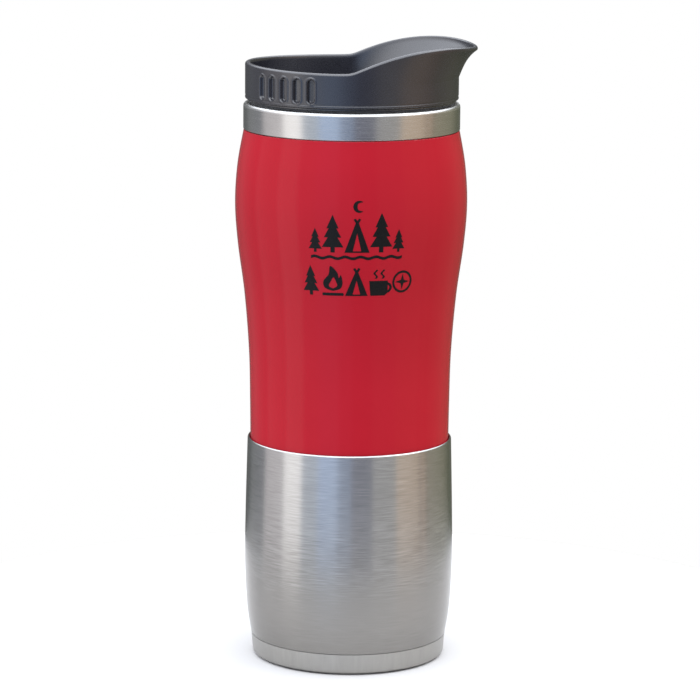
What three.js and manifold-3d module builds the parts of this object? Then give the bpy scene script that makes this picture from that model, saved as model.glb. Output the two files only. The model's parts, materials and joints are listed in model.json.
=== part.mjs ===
// A double-wall vacuum travel mug in millimetres, +Z up, standing on z = 0 with its axis on Z.
// A steel vacuum vessel wears a red gloss sleeve and a brushed steel base; a black screw-on lid
// carries a drinking spout towards +X and a flip lever that plugs the drinking hole.
import * as THREE from "three";
import { mergeVertices } from "three/addons/utils/BufferGeometryUtils.js";
import Module from "manifold-3d";

const wasm = await Module();
wasm.setup();

// Driving dimensions
const MOUTH_Z = 182;
const MOUTH_R = 34.9;
const COLLAR_Z = 173.5;
const SEAM_Z = 72.6;
const CAP_TOP_Z = 7;
const COLLAR_NECK_R = 33.3;
const NECK_R = 31.2;
const LINER_R = 27.4;
const LINER_FLOOR_Z = 12.6;
const LINER_CORNER_R = 6;
const JACKET_R = 30.8;
const JACKET_BOTTOM_Z = 6.65;
const JACKET_CORNER_R = 3.8;
const LIP_R = 1.6;
const LIP_EDGE_R = 0.9;
const WELD_Z = MOUTH_Z - 1.225;
const STEEL = 0.5;
const SLEEVE_WALL = 1.3;
const SLEEVE_TUCK = 4.6;
const GAP = 0.05;
const BODY_COLUMNS = 40;
const LID_COLUMNS = 60;

// Underside of the vessel, inside the base
const DISC_Z = 7.75;
const DIMPLE_Z = 9;
const GETTER_X = 14;
const GETTER_R = 3.5;
const GETTER_Z = 8.35;
const GETTER_HEIGHT = 1.4;
const CLIP_FOOT = 2.6;
const CLIP_HALF_WIDTH = 1.6;
const CAP_Z = 1.05;
const CAP_CORNER_R = 2.5;
const PAD_R = 24;

// Screw thread of the lid, two starts
const THREAD_PITCH = 4;
const THREAD_LEAD = 8;
const THREAD_HEIGHT = 1.1;
const THREAD_HALF_WIDTH = 1.15;
const THREAD_FLANK = 0.7;
const THREAD_ROW = 1;
const PLUG_R = 29.7;
const PLUG_BOTTOM_Z = 166.4;
const PLUG_WALL = 1.9;

// Lid
const LID_R = 34.35;
const LID_BOTTOM_Z = 183.3;
const FLOOR_Z = 184.9;
const RECESS_R = 32.65;
const RIM = 1.8;
const SPOUT_FLARE = 6.1;
const SPOUT_FOOT = 7.65;
const FLARE_START_Z = 190.5;
const RIM_Z = 194.2;
const SPOUT_RISE = 7.3;
const SPOUT_PEAK_X = 31;
const DRINK_X = 17.5;
const DRINK_HOLE_R = 4.4;
const VENT_X = 6;
const VENT_HOLE_R = 1.9;
const DUCT_WALL = 1.5;
const VENT_WALL = 0.7;
const FLUTE_R = 1.5;
const FLUTE_HEIGHT = 7.8;
const FLUTE_ANGLE = 128.8;
const FLUTE_PITCH = 8.4;
const FLUTES = 5;

// Flip lever
const PIVOT_X = -3;
const PIVOT_Z = 187.6;
const LEVER_UNDER_Z = 186.5;
const LEVER_TOP_Z = 189.3;
const LEVER_HALF_WIDTH = 6.2;
const LEVER_NOSE_R = 7;
const LEVER_NOSE_X = 16.4;
const BARREL_R = 2.1;
const PIN_R = 0.95;
const EAR_GAP = 0.4;
const EAR_THICK = 2;

const steel = (color, roughness) => new THREE.MeshStandardMaterial({ color, roughness, metalness: 1 });
const plastic = (color, roughness) => new THREE.MeshStandardMaterial({ color, roughness, metalness: 0 });

const MATERIALS = {
  brushed: steel(0xb4b2ad, 0.38),
  liner: steel(0xc4c4c2, 0.3),
  polished: steel(0xd0d0ce, 0.15),
  solder: steel(0x8f9094, 0.5),
  getter: steel(0x55565a, 0.7),
  red: plastic(0xb81f2b, 0.12),
  black: plastic(0x1c1e22, 0.42),
  spacer: plastic(0xd9d9d2, 0.6),
  silicone: plastic(0x2b2d30, 0.7),
  pad: plastic(0x232323, 0.9),
};

// ---- Outlines in the (radius, height) plane ----

// Points on an arc; angles in degrees from the outward direction.
function arc(r, z, radius, from, to, steps = 3) {
  return Array.from({ length: steps + 1 }, (_, i) => {
    const a = THREE.MathUtils.degToRad(from + ((to - from) * i) / steps);
    return [r + radius * Math.cos(a), z + radius * Math.sin(a)];
  });
}

// Points on a smooth curve through the given ones.
function through(points, steps) {
  const curve = new THREE.SplineCurve(points.map(([r, z]) => new THREE.Vector2(r, z)));
  return curve.getPoints(steps).map((p) => [p.x, p.y]);
}

// The same path moved sideways by a distance: to its left, or to its right if negative.
function beside(path, distance) {
  const normal = ([r0, z0], [r1, z1]) => {
    const length = Math.hypot(r1 - r0, z1 - z0);
    return [(z0 - z1) / length, (r1 - r0) / length];
  };
  return path.map(([r, z], i) => {
    const before = normal(path[Math.max(i - 1, 0)], path[Math.max(i, 1)]);
    const after = normal(path[Math.min(i, path.length - 2)], path[Math.min(i + 1, path.length - 1)]);
    const sum = [before[0] + after[0], before[1] + after[1]];
    const scale = distance / (sum[0] * before[0] + sum[1] * before[1]);
    return [r + sum[0] * scale, z + sum[1] * scale];
  });
}

// The closed outline of a thin wall whose face follows the path.
const sheet = (path, thickness) => [...path, ...beside(path, thickness).reverse()];

// Rows of points up a straight wall, for a thread to be raised on.
function threadRows(radius, from, to) {
  const count = Math.round((to - from) / THREAD_ROW);
  return Array.from({ length: count + 1 }, (_, i) => [radius, from + ((to - from) * i) / count]);
}

// ---- Solids ----

// Turns a closed outline about Z, its faces looking out whichever way the outline runs.
function revolve(outline, columns = BODY_COLUMNS) {
  const closed = outline[0][0] > 0 ? [...outline, outline[0]] : outline;
  const points = closed.map(([r, z]) => new THREE.Vector2(r, z));
  if (THREE.ShapeUtils.isClockWise(points)) points.reverse();
  return new THREE.LatheGeometry(points, columns).rotateX(Math.PI / 2);
}

// Raises two helical ridges on the wall of a turned piece: outwards, or inwards if the height is negative.
function raiseThread(geometry, wallR, from, to, height, phase) {
  const at = geometry.getAttribute("position");
  for (let i = 0; i < at.count; i++) {
    const [x, y, z] = [at.getX(i), at.getY(i), at.getZ(i)];
    if (Math.abs(Math.hypot(x, y) - wallR) > 1e-3 || z < from || z > to) continue;
    const along = z - (THREAD_LEAD * Math.atan2(y, x)) / (2 * Math.PI) + phase;
    const fromCrest = Math.abs(THREE.MathUtils.euclideanModulo(along, THREAD_PITCH) - THREAD_PITCH / 2);
    const flank = THREE.MathUtils.clamp((THREAD_HALF_WIDTH - fromCrest) / THREAD_FLANK, 0, 1);
    const end = THREE.MathUtils.clamp(Math.min(z - from, to - z) / THREAD_ROW, 0, 1);
    const scale = (wallR + height * flank * end) / wallR;
    at.setXY(i, x * scale, y * scale);
  }
  return geometry;
}

// A geometry as a manifold-3d solid, and back.
function solid(geometry) {
  const bare = new THREE.BufferGeometry();
  bare.setAttribute("position", geometry.getAttribute("position").clone());
  bare.setIndex(geometry.index);
  const merged = mergeVertices(bare, 1e-3);
  return new wasm.Manifold(
    new wasm.Mesh({
      numProp: 3,
      vertProperties: new Float32Array(merged.getAttribute("position").array),
      triVerts: new Uint32Array(merged.index.array),
    }),
  );
}

function geometryOf(body) {
  const mesh = body.getMesh();
  const geometry = new THREE.BufferGeometry();
  geometry.setAttribute("position", new THREE.BufferAttribute(mesh.vertProperties, 3));
  geometry.setIndex(new THREE.BufferAttribute(mesh.triVerts, 1));
  geometry.computeVertexNormals();
  return geometry;
}

// A cylinder along Z, and one along Y.
function post(x, radius, from, to, segments = 24) {
  const cylinder = new THREE.CylinderGeometry(radius, radius, to - from, segments);
  return cylinder.rotateX(Math.PI / 2).translate(x, 0, (from + to) / 2);
}

function rod(x, z, radius, length, segments = 16) {
  return new THREE.CylinderGeometry(radius, radius, length, segments).translate(x, 0, z);
}

// A shape drawn in the XZ plane and pulled out from y = near to y = far.
function slab(shape, near, far, curveSegments = 6) {
  const options = { depth: far - near, bevelEnabled: false, curveSegments };
  return new THREE.ExtrudeGeometry(shape, options).rotateX(Math.PI / 2).translate(0, far, 0);
}

// ---- Vessel ----

function innerLiner() {
  const inside = [
    [0, LINER_FLOOR_Z],
    ...arc(LINER_R - LINER_CORNER_R, LINER_FLOOR_Z + LINER_CORNER_R, LINER_CORNER_R, -90, 0, 2),
    ...through([[LINER_R, 95], [28.9, 122], [29.9, 146], [NECK_R, 163]], 4),
  ];
  const lip = [
    ...arc(NECK_R + LIP_R, MOUTH_Z - LIP_R, LIP_R, 180, 90, 2),
    ...arc(MOUTH_R - LIP_EDGE_R, MOUTH_Z - LIP_EDGE_R, LIP_EDGE_R, 90, 0, 2),
    [MOUTH_R, WELD_Z + GAP / 2],
  ];
  const [from, to] = [168.6, 178.2];
  const outside = beside([...inside, ...lip], -STEEL).reverse();
  const outline = [...inside, ...threadRows(NECK_R, from, to), ...lip, ...outside];
  return raiseThread(revolve(outline), NECK_R, from, to, -THREAD_HEIGHT, THREAD_PITCH / 2);
}

function vacuumJacket() {
  const outside = [
    [JACKET_R - JACKET_CORNER_R - 3, JACKET_BOTTOM_Z],
    [JACKET_R - JACKET_CORNER_R, JACKET_BOTTOM_Z],
    ...arc(JACKET_R - JACKET_CORNER_R, JACKET_BOTTOM_Z + JACKET_CORNER_R, JACKET_CORNER_R, -60, 0, 2),
    ...through([[JACKET_R, 95], [31.3, 108], [32.4, 124], [33.2, 140], [COLLAR_NECK_R, 152]], 4),
    [COLLAR_NECK_R, COLLAR_Z],
    [MOUTH_R, COLLAR_Z],
    [MOUTH_R, WELD_Z - GAP / 2],
  ];
  return revolve(sheet(outside, STEEL));
}

// A disc with a dimple at its centre, where the air is drawn out through a small hole.
function jacketBase() {
  const underside = [[1, DIMPLE_Z], [4, DIMPLE_Z], [5.2, DISC_Z], [23, DISC_Z], [26.2, DISC_Z - 0.5]];
  return revolve(sheet(underside, STEEL));
}

// A bead in the dimple, with a stem that fills the hole.
function tipOffSeal() {
  const bead = [[0, DIMPLE_Z - 1.1], [1.6, DIMPLE_Z - 1], [2.4, DIMPLE_Z - 0.1], [0.8, DIMPLE_Z - GAP]];
  return revolve([...bead, [0.7, DIMPLE_Z + 0.6], [0, DIMPLE_Z + 0.7]], 16);
}

const getter = () => post(GETTER_X, GETTER_R, GETTER_Z, GETTER_Z + GETTER_HEIGHT, 20);

// A strap bent over the pellet, with a foot on each side.
function getterClip() {
  const half = GETTER_R + 0.5;
  const top = GETTER_Z + GETTER_HEIGHT + 0.1;
  const foot = half + CLIP_FOOT;
  const over = [[-half, GETTER_Z], [-half, top], [half, top], [half, GETTER_Z]];
  const bends = [[-foot, GETTER_Z], ...over, [foot, GETTER_Z]];
  const strap = new THREE.Shape(sheet(bends, STEEL).map(([x, z]) => new THREE.Vector2(GETTER_X + x, z)));
  return slab(strap, -CLIP_HALF_WIDTH, CLIP_HALF_WIDTH);
}

// ---- Outer skins ----

function redSleeve() {
  const waist = [[32.35, SEAM_Z - SLEEVE_TUCK], [32.5, 84], [32.9, 101]];
  const belly = [[34.4, 120], [36.6, 136.5], [37.5, 149.5], [36.75, 162], [34.75, COLLAR_Z - 0.15]];
  return revolve(sheet(through([...waist, ...belly], 10), SLEEVE_WALL));
}

function baseShell() {
  const flank = [[31.95, CAP_TOP_Z + GAP], [33.3, 16], [34.05, 31], [33.9, 48], [33.3, SEAM_Z]];
  return revolve(sheet(through(flank, 5), STEEL));
}

function bottomCap() {
  const rest = CAP_Z - 0.65;
  const corner = arc(28.6, rest + CAP_CORNER_R, CAP_CORNER_R, -90, -10, 2);
  const recess = [[0, CAP_Z], [PAD_R + 0.4, CAP_Z], [PAD_R + 1, rest]];
  return revolve(sheet([...recess, ...corner, [31.93, CAP_TOP_Z - GAP]], STEEL));
}

const seamSpacer = () => revolve([[31.05, 57], [32.7, 57.6], [32.7, 64.4], [31.05, 65]]);
const baseSpacer = () =>
  revolve([[0, 1.7], [27.2, 1.7], [28.2, 2.6], [28.2, 5.2], [27, 6.5], [23.5, 6.5], [22.5, 3.4], [0, 3.4]]);
const footPad = () => revolve([[0, 0], [PAD_R - 0.6, 0], [PAD_R, 0.4], [PAD_R, 1], [0, 1]]);

// ---- Lid ----

// Outer radius of the rim, and height of its crest, at an angle from the spout.
function rimRadius(angle) {
  const reach = Math.abs(angle) < Math.PI / 2.4 ? Math.cos(1.2 * angle) ** 2 : 0;
  return LID_R + SPOUT_FLARE * reach;
}

function crestZ(angle) {
  const x = rimRadius(angle) * Math.cos(angle);
  const back = 0.8 * (Math.min(x, 0) / LID_R) ** 2;
  const forward = (x + Math.hypot(x, 1.5)) / 2;
  if (forward < SPOUT_PEAK_X) return RIM_Z + back + SPOUT_RISE * (1 - (1 - forward / SPOUT_PEAK_X) ** 2);
  return RIM_Z + SPOUT_RISE - ((forward - SPOUT_PEAK_X) / 9.45) ** 2;
}

// The section of the lid shell at an angle: recess floor, ramp or wall, rim, flared outer wall, and
// hollow underside.
function lidSection(angle) {
  const [outer, crest] = [rimRadius(angle), crestZ(angle)];
  const inner = outer - RIM;
  const foot = RECESS_R - SPOUT_FOOT * Math.max(Math.cos(angle), 0) ** 2;
  const rampTop = crest - 1;
  const ramp = (t) => [foot + (inner - foot) * t, FLOOR_Z + (rampTop - FLOOR_Z) * t];
  const flankTop = crest - 0.9;
  const flank = (t) => [
    LID_R + (outer - LID_R) * (0.6 * t + 0.4 * t ** 4),
    FLARE_START_Z + (flankTop - FLARE_START_Z) * t,
  ];
  const hollowTop = ramp(Math.max(30.6 - foot, 0) / (inner - foot + 1e-6))[1] - 1.2;
  return [
    [0, FLOOR_Z],
    [foot - 1.6, FLOOR_Z],
    [foot - 0.5, FLOOR_Z + 0.4],
    ...[0.3, 0.65, 1].map(ramp),
    [inner + 0.35, crest - 0.25],
    [inner + 0.9, crest],
    [outer - 0.3, crest - 0.25],
    ...[1, 0.8, 0.5, 0].map(flank),
    [LID_R, LID_BOTTOM_Z + 0.5],
    [LID_R - 0.4, LID_BOTTOM_Z],
    [RECESS_R - 0.1, LID_BOTTOM_Z],
    [RECESS_R - 0.2, Math.max(hollowTop, LID_BOTTOM_Z + 0.4)],
    [Math.min(foot + 1.9, RECESS_R - 0.95), LID_BOTTOM_Z],
    [0, LID_BOTTOM_Z],
  ];
}

// A turned solid whose section changes with the angle; its outline runs from the top down the outside.
function turnSections(sectionAt, columns) {
  const template = sectionAt(0).map(([r, z]) => new THREE.Vector2(r, z));
  const geometry = new THREE.LatheGeometry(template, columns);
  const at = geometry.getAttribute("position");
  for (let column = 0; column <= columns; column++) {
    const angle = Math.PI - ((column % columns) / columns) * 2 * Math.PI;
    sectionAt(angle).forEach(([r, z], row) => {
      at.setXYZ(column * template.length + row, r * Math.cos(angle), r * Math.sin(angle), z);
    });
  }
  return geometry;
}

function flute(degrees) {
  const a = THREE.MathUtils.degToRad(degrees);
  const r = LID_R + 0.65;
  const z = LID_BOTTOM_Z + 1.3 + FLUTE_HEIGHT / 2;
  const capsule = new THREE.CapsuleGeometry(FLUTE_R, FLUTE_HEIGHT - 2 * FLUTE_R, 2, 8);
  return capsule.rotateX(Math.PI / 2).rotateZ(a).translate(r * Math.cos(a), r * Math.sin(a), z);
}

function ear(side) {
  const shape = new THREE.Shape();
  shape.moveTo(PIVOT_X - 3, FLOOR_Z - 0.4);
  shape.lineTo(PIVOT_X + 3, FLOOR_Z - 0.4);
  shape.absarc(PIVOT_X, PIVOT_Z, 2.2, 0.15, Math.PI - 0.15);
  const near = LEVER_HALF_WIDTH + EAR_GAP;
  const y = side > 0 ? near : -near - EAR_THICK;
  return slab(shape, y, y + EAR_THICK);
}

function lidShell() {
  let body = solid(turnSections(lidSection, LID_COLUMNS));
  const ducts = [
    post(DRINK_X, DRINK_HOLE_R + DUCT_WALL, PLUG_BOTTOM_Z, LID_BOTTOM_Z + 0.4),
    post(VENT_X, VENT_HOLE_R + VENT_WALL, PLUG_BOTTOM_Z, LID_BOTTOM_Z + 0.4, 16),
  ];
  for (const added of [...ducts, ear(1), ear(-1)]) body = body.add(solid(added));
  const cuts = [
    post(DRINK_X, DRINK_HOLE_R, PLUG_BOTTOM_Z - 1, FLOOR_Z + 1),
    post(VENT_X, VENT_HOLE_R, PLUG_BOTTOM_Z - 1, FLOOR_Z + 1, 16),
    rod(PIVOT_X, PIVOT_Z, PIN_R + 0.1, 20),
  ];
  for (let i = 0; i < FLUTES; i++) {
    const degrees = FLUTE_ANGLE + (i - (FLUTES - 1) / 2) * FLUTE_PITCH;
    cuts.push(flute(degrees), flute(-degrees));
  }
  for (const cut of cuts) body = body.subtract(solid(cut));
  return geometryOf(body);
}

function lidPlug() {
  const [from, to] = [168.4, 178.8];
  const flangeZ = LID_BOTTOM_Z - GAP;
  const outline = [
    [0, PLUG_BOTTOM_Z],
    [PLUG_R - 1, PLUG_BOTTOM_Z],
    [PLUG_R, PLUG_BOTTOM_Z + 1],
    ...threadRows(PLUG_R, from, to),
    [PLUG_R, flangeZ - 0.7],
    [33.3, flangeZ - 0.7],
    [33.3, flangeZ],
    [PLUG_R - PLUG_WALL, flangeZ],
    [PLUG_R - PLUG_WALL, PLUG_BOTTOM_Z + 1.6],
    [0, PLUG_BOTTOM_Z + 1.6],
  ];
  let body = solid(raiseThread(revolve(outline), PLUG_R, from, to, THREAD_HEIGHT, 0));
  const holes = [[DRINK_X, DRINK_HOLE_R + DUCT_WALL, 24], [VENT_X, VENT_HOLE_R + VENT_WALL, 16]];
  for (const [x, ductR, segments] of holes) {
    body = body.subtract(solid(post(x, ductR + 0.25, PLUG_BOTTOM_Z - 1, PLUG_BOTTOM_Z + 3, segments)));
  }
  return geometryOf(body);
}

function lidSeal() {
  const [inner, seat] = [PLUG_R + 0.25, MOUTH_Z + 0.08];
  return revolve([[inner, 180.2], [inner + 0.45, 179.9], [NECK_R - 0.25, 180.8], [NECK_R - 0.15, 181.6],
    [NECK_R + 0.4, seat], [33, seat], [33, seat + 0.42], [inner, seat + 0.42]]);
}

function ductSeal() {
  const ring = arc(DRINK_HOLE_R + DUCT_WALL + 0.9, PLUG_BOTTOM_Z + 2.45, 0.8, 0, 300, 5);
  return revolve(ring, 20).translate(DRINK_X, 0, 0);
}

function flipLever() {
  const plan = new THREE.Shape();
  plan.moveTo(PIVOT_X, -LEVER_HALF_WIDTH);
  plan.lineTo(6, -LEVER_HALF_WIDTH);
  plan.bezierCurveTo(10, -LEVER_HALF_WIDTH, 12, -LEVER_NOSE_R, LEVER_NOSE_X, -LEVER_NOSE_R);
  plan.absarc(LEVER_NOSE_X, 0, LEVER_NOSE_R, -Math.PI / 2, Math.PI / 2);
  plan.bezierCurveTo(12, LEVER_NOSE_R, 10, LEVER_HALF_WIDTH, 6, LEVER_HALF_WIDTH);
  plan.lineTo(PIVOT_X, LEVER_HALF_WIDTH);
  const flat = new THREE.ExtrudeGeometry(plan, { depth: 8, bevelEnabled: false, curveSegments: 8 });
  const tip = LEVER_NOSE_X + LEVER_NOSE_R + 1;
  const side = new THREE.Shape();
  side.moveTo(PIVOT_X - 1, LEVER_UNDER_Z + 0.4);
  side.lineTo(8, LEVER_UNDER_Z);
  side.lineTo(LEVER_NOSE_X + 4.4, LEVER_UNDER_Z);
  side.quadraticCurveTo(tip - 2, LEVER_UNDER_Z + 0.2, tip, LEVER_UNDER_Z + 1.2);
  side.lineTo(tip, LEVER_TOP_Z + 0.8);
  side.quadraticCurveTo(tip - 2.5, LEVER_TOP_Z + 0.1, LEVER_NOSE_X + 3, LEVER_TOP_Z);
  side.lineTo(PIVOT_X - 1, LEVER_TOP_Z);
  let body = solid(slab(side, -9, 9)).intersect(solid(flat.translate(0, 0, LEVER_UNDER_Z - 2)));
  body = body.add(solid(rod(PIVOT_X, PIVOT_Z, BARREL_R, 2 * LEVER_HALF_WIDTH, 20)));
  const cuts = [
    rod(PIVOT_X, PIVOT_Z, PIN_R + 0.3, 20),
    post(DRINK_X, 2.2, LEVER_UNDER_Z - 1, LEVER_TOP_Z + 2, 16),
    post(DRINK_X, 3.3, LEVER_TOP_Z - 1.1, LEVER_TOP_Z + 2),
    post(VENT_X, 1.3, LEVER_UNDER_Z - 1, LEVER_UNDER_Z + 1.8, 12),
  ];
  for (const cut of cuts) body = body.subtract(solid(cut));
  return geometryOf(body);
}

const leverPin = () => rod(PIVOT_X, PIVOT_Z, PIN_R, 2 * (LEVER_HALF_WIDTH + EAR_GAP + EAR_THICK));

function drinkStopper() {
  const [seat, neckTop] = [FLOOR_Z + GAP, LEVER_TOP_Z - 1.05];
  const plug = [[0, seat - 1.5], [3.5, seat - 1.5], [4, seat]];
  const flange = [[5.6, seat], [5.6, seat + 1], [5, LEVER_UNDER_Z - GAP], [2, LEVER_UNDER_Z - GAP]];
  const button = [[2, neckTop], [3, neckTop], [3, neckTop + 0.5], [2.2, neckTop + 0.9], [0, neckTop + 0.95]];
  return revolve([...plug, ...flange, ...button], 24).translate(DRINK_X, 0, 0);
}

function ventStopper() {
  const seat = FLOOR_Z + GAP;
  const plug = [[0, seat - 1], [0.9, seat - 1], [1.2, seat]];
  const flange = [[2.6, seat], [2.6, seat + 0.8], [2.2, LEVER_UNDER_Z - GAP], [1.1, LEVER_UNDER_Z - GAP]];
  const stem = [[1.1, LEVER_UNDER_Z + 1.5], [0, LEVER_UNDER_Z + 1.5]];
  return revolve([...plug, ...flange, ...stem], 16).translate(VENT_X, 0, 0);
}

// ---- Assembly ----

const PARTS = [
  ["inner_liner", innerLiner, "liner"],
  ["vacuum_jacket", vacuumJacket, "polished"],
  ["jacket_base", jacketBase, "liner"],
  ["tip_off_seal", tipOffSeal, "solder"],
  ["getter_pellet", getter, "getter"],
  ["getter_clip", getterClip, "liner"],
  ["red_sleeve", redSleeve, "red"],
  ["base_shell", baseShell, "brushed"],
  ["bottom_cap", bottomCap, "brushed"],
  ["seam_spacer", seamSpacer, "spacer"],
  ["base_spacer", baseSpacer, "spacer"],
  ["foot_pad", footPad, "pad"],
  ["lid_shell", lidShell, "black"],
  ["lid_plug", lidPlug, "black"],
  ["lid_seal", lidSeal, "silicone"],
  ["duct_seal", ductSeal, "silicone"],
  ["flip_lever", flipLever, "black"],
  ["lever_pin", leverPin, "polished"],
  ["drink_stopper", drinkStopper, "silicone"],
  ["vent_stopper", ventStopper, "silicone"],
];

const mug = new THREE.Group();
for (const [name, make, material] of PARTS) {
  const mesh = new THREE.Mesh(make(), MATERIALS[material]);
  mesh.name = name;
  mug.add(mesh);
}

export default mug;
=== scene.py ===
"""Looks of a waisted double-wall travel mug: fine surfaces, materials, studio and camera.

Pieces are made in millimetres and scaled to metres when they are finished. The mug's axis is Z, the
spout points to +X and the side with the print faces -Y.
"""
import json
import math

import bmesh
import bpy
from mathutils import Matrix, Vector


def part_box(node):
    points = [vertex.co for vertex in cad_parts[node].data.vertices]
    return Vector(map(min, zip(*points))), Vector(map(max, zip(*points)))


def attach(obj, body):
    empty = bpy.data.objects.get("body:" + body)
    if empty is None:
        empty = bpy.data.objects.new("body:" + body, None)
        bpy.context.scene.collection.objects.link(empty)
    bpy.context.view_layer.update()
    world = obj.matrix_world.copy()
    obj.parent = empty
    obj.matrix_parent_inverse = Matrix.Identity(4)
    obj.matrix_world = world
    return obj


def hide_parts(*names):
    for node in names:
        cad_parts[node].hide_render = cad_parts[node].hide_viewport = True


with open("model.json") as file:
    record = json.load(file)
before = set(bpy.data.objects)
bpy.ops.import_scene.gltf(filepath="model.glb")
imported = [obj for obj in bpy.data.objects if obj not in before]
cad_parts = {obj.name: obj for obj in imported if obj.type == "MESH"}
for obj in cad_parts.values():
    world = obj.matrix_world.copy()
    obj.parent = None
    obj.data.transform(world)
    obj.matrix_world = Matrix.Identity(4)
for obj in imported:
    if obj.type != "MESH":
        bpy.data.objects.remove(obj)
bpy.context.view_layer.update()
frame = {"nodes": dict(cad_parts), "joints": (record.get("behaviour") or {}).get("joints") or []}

MM = 0.001


def low(node):
    """A node's lowest corner."""
    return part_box(node)[0] / MM


def high(node):
    """A node's highest corner."""
    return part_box(node)[1] / MM


# ---- Driving dimensions: the outer ones come from the frame ----

STEEL = 0.5             # sheet thickness
SEAM_GAP = 0.05         # clearance between pieces that meet
ROUND = 192             # columns round a turned piece
SMALL_ROUND = 48        # columns round a pin or a hole

MOUTH_Z = high("inner_liner").z
MOUTH_R = high("inner_liner").x
NECK_R = MOUTH_R - 3.7
SLEEVE_TOP_Z = high("red_sleeve").z
SLEEVE_WALL = 1.3
SEAM_Z = high("base_shell").z
CAP_TOP_Z = low("base_shell").z - SEAM_GAP     # the seam between foot band and steel base

THREAD_PITCH = 4
THREAD_LEAD = 8
THREAD_HEIGHT = 1.1
PLUG_BOTTOM_Z = low("lid_plug").z
PLUG_R = NECK_R - 1.5
PLUG_WALL = 1.9

LID_R = -low("lid_shell").x
LID_BOTTOM_Z = high("lid_plug").z + SEAM_GAP
FLOOR_Z = LID_BOTTOM_Z + 1.6
RECESS_R = LID_R - 1.7
RIM = 1.8
SPOUT_FLARE = high("lid_shell").x - LID_R
SPOUT_SPREAD = 1.2      # the spout's flare dies out at a quarter turn over this
SPOUT_FOOT = 7.65       # how far in from the recess's wall the spout's ramp starts
FLARE_START_Z = LID_BOTTOM_Z + 7.2
SPOUT_RISE = 7.3
RIM_Z = high("lid_shell").z - SPOUT_RISE
SPOUT_PEAK_X = 31
SPOUT_TIP_RUN = 9.45    # past the peak, the run over which the crest drops 1 mm
BACK_RISE = 0.8
FLUTE_ANGLE = 128.8
FLUTE_PITCH = 8.4
FLUTES = 5
FLUTE_HALF_WIDTH = 1.35
FLUTE_DEPTH = 1.1
FLUTE_LOW_Z = LID_BOTTOM_Z + 1.3
FLUTE_HIGH_Z = FLUTE_LOW_Z + 7.8

DRINK_X = (low("drink_stopper").x + high("drink_stopper").x) / 2
VENT_X = (low("vent_stopper").x + high("vent_stopper").x) / 2
DRINK_HOLE_R = 4.4
VENT_HOLE_R = 1.9
DRINK_DUCT_WALL = 1.5
VENT_DUCT_WALL = 0.7
PIVOT = Vector(next(j["pos_m"] for j in frame["joints"] if j["name"] == "lever_flip")) / MM
LEVER_HALF_WIDTH = 6.2
LEVER_NOSE_R = high("flip_lever").y
LEVER_TIP_X = high("flip_lever").x
LEVER_NOSE_X = LEVER_TIP_X - LEVER_NOSE_R
LEVER_UNDER_Z = FLOOR_Z + 1.6
LEVER_TOP_Z = LEVER_UNDER_Z + 2.8
EAR_R = 2.2
EAR_GAP = 0.4
EAR_THICKNESS = 2
PIN_R = 0.95
PIN_HALF_LENGTH = high("lever_pin").y


# ---- Outlines in the (radius, height) plane ----

def arc(r, z, radius, start, end, steps=8):
    """Points on an arc; angles in degrees from the outward direction."""
    angles = [math.radians(start + (end - start) * i / steps) for i in range(steps + 1)]
    return [(r + radius * math.cos(a), z + radius * math.sin(a)) for a in angles]


def through(points, steps):
    """Points on a smooth curve through the given ones."""
    spans = len(points) - 1
    curve = []
    for step in range(steps + 1):
        place = spans * step / steps
        i = min(int(place), spans - 1)
        t = place - i
        p0, p1, p2, p3 = (points[min(max(k, 0), spans)] for k in (i - 1, i, i + 1, i + 2))
        curve.append(tuple(catmull_rom(t, p0[k], p1[k], p2[k], p3[k]) for k in (0, 1)))
    return curve


def catmull_rom(t, a, b, c, d):
    start, end = (c - a) / 2, (d - b) / 2
    cubic = 2 * b - 2 * c + start + end
    square = 3 * c - 3 * b - 2 * start - end
    return cubic * t**3 + square * t**2 + start * t + b


def beside(path, distance):
    """The same path moved sideways by a distance to its left."""
    def normal(a, b):
        length = math.dist(a, b)
        return Vector((a[1] - b[1], b[0] - a[0])) / length

    moved = []
    for i, point in enumerate(path):
        before = normal(path[max(i - 1, 0)], path[max(i, 1)])
        after = normal(path[min(i, len(path) - 2)], path[min(i + 1, len(path) - 1)])
        across = before + after
        moved.append(tuple(Vector(point) + across * (distance / across.dot(before))))
    return moved


def filleted(corners, steps=6):
    """A closed outline whose corners, given as (r, z, fillet radius), are rounded."""
    outline = []
    for i, (r, z, radius) in enumerate(corners):
        here = Vector((r, z))
        back = Vector(corners[i - 1][:2]) - here
        ahead = Vector(corners[(i + 1) % len(corners)][:2]) - here
        if radius == 0:
            outline.append((r, z))
            continue
        back.normalize()
        ahead.normalize()
        half = back.angle(ahead) / 2
        cut = radius / math.tan(half)
        centre = here + (back + ahead).normalized() * (radius / math.sin(half))
        first, last = here + back * cut - centre, here + ahead * cut - centre
        for step in range(steps + 1):
            outline.append(tuple(centre + radius * first.slerp(last, step / steps)))
    return outline


def sheet(path, thickness, edge=0.0):
    """The closed outline of a thin wall whose face follows the path, with its two ends eased."""
    inner = beside(path, thickness)
    if not edge:
        return [*path, *inner[::-1]]
    start = filleted([(*path[1], 0), (*path[0], edge), (*inner[0], edge), (*inner[1], 0)], 4)[1:-1]
    end = filleted([(*inner[-2], 0), (*inner[-1], edge), (*path[-1], edge), (*path[-2], 0)], 4)[1:-1]
    return [*start[5:], *inner[1:-1], *end, *path[-2:0:-1], *start[:5]]


# ---- Meshes ----

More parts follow.
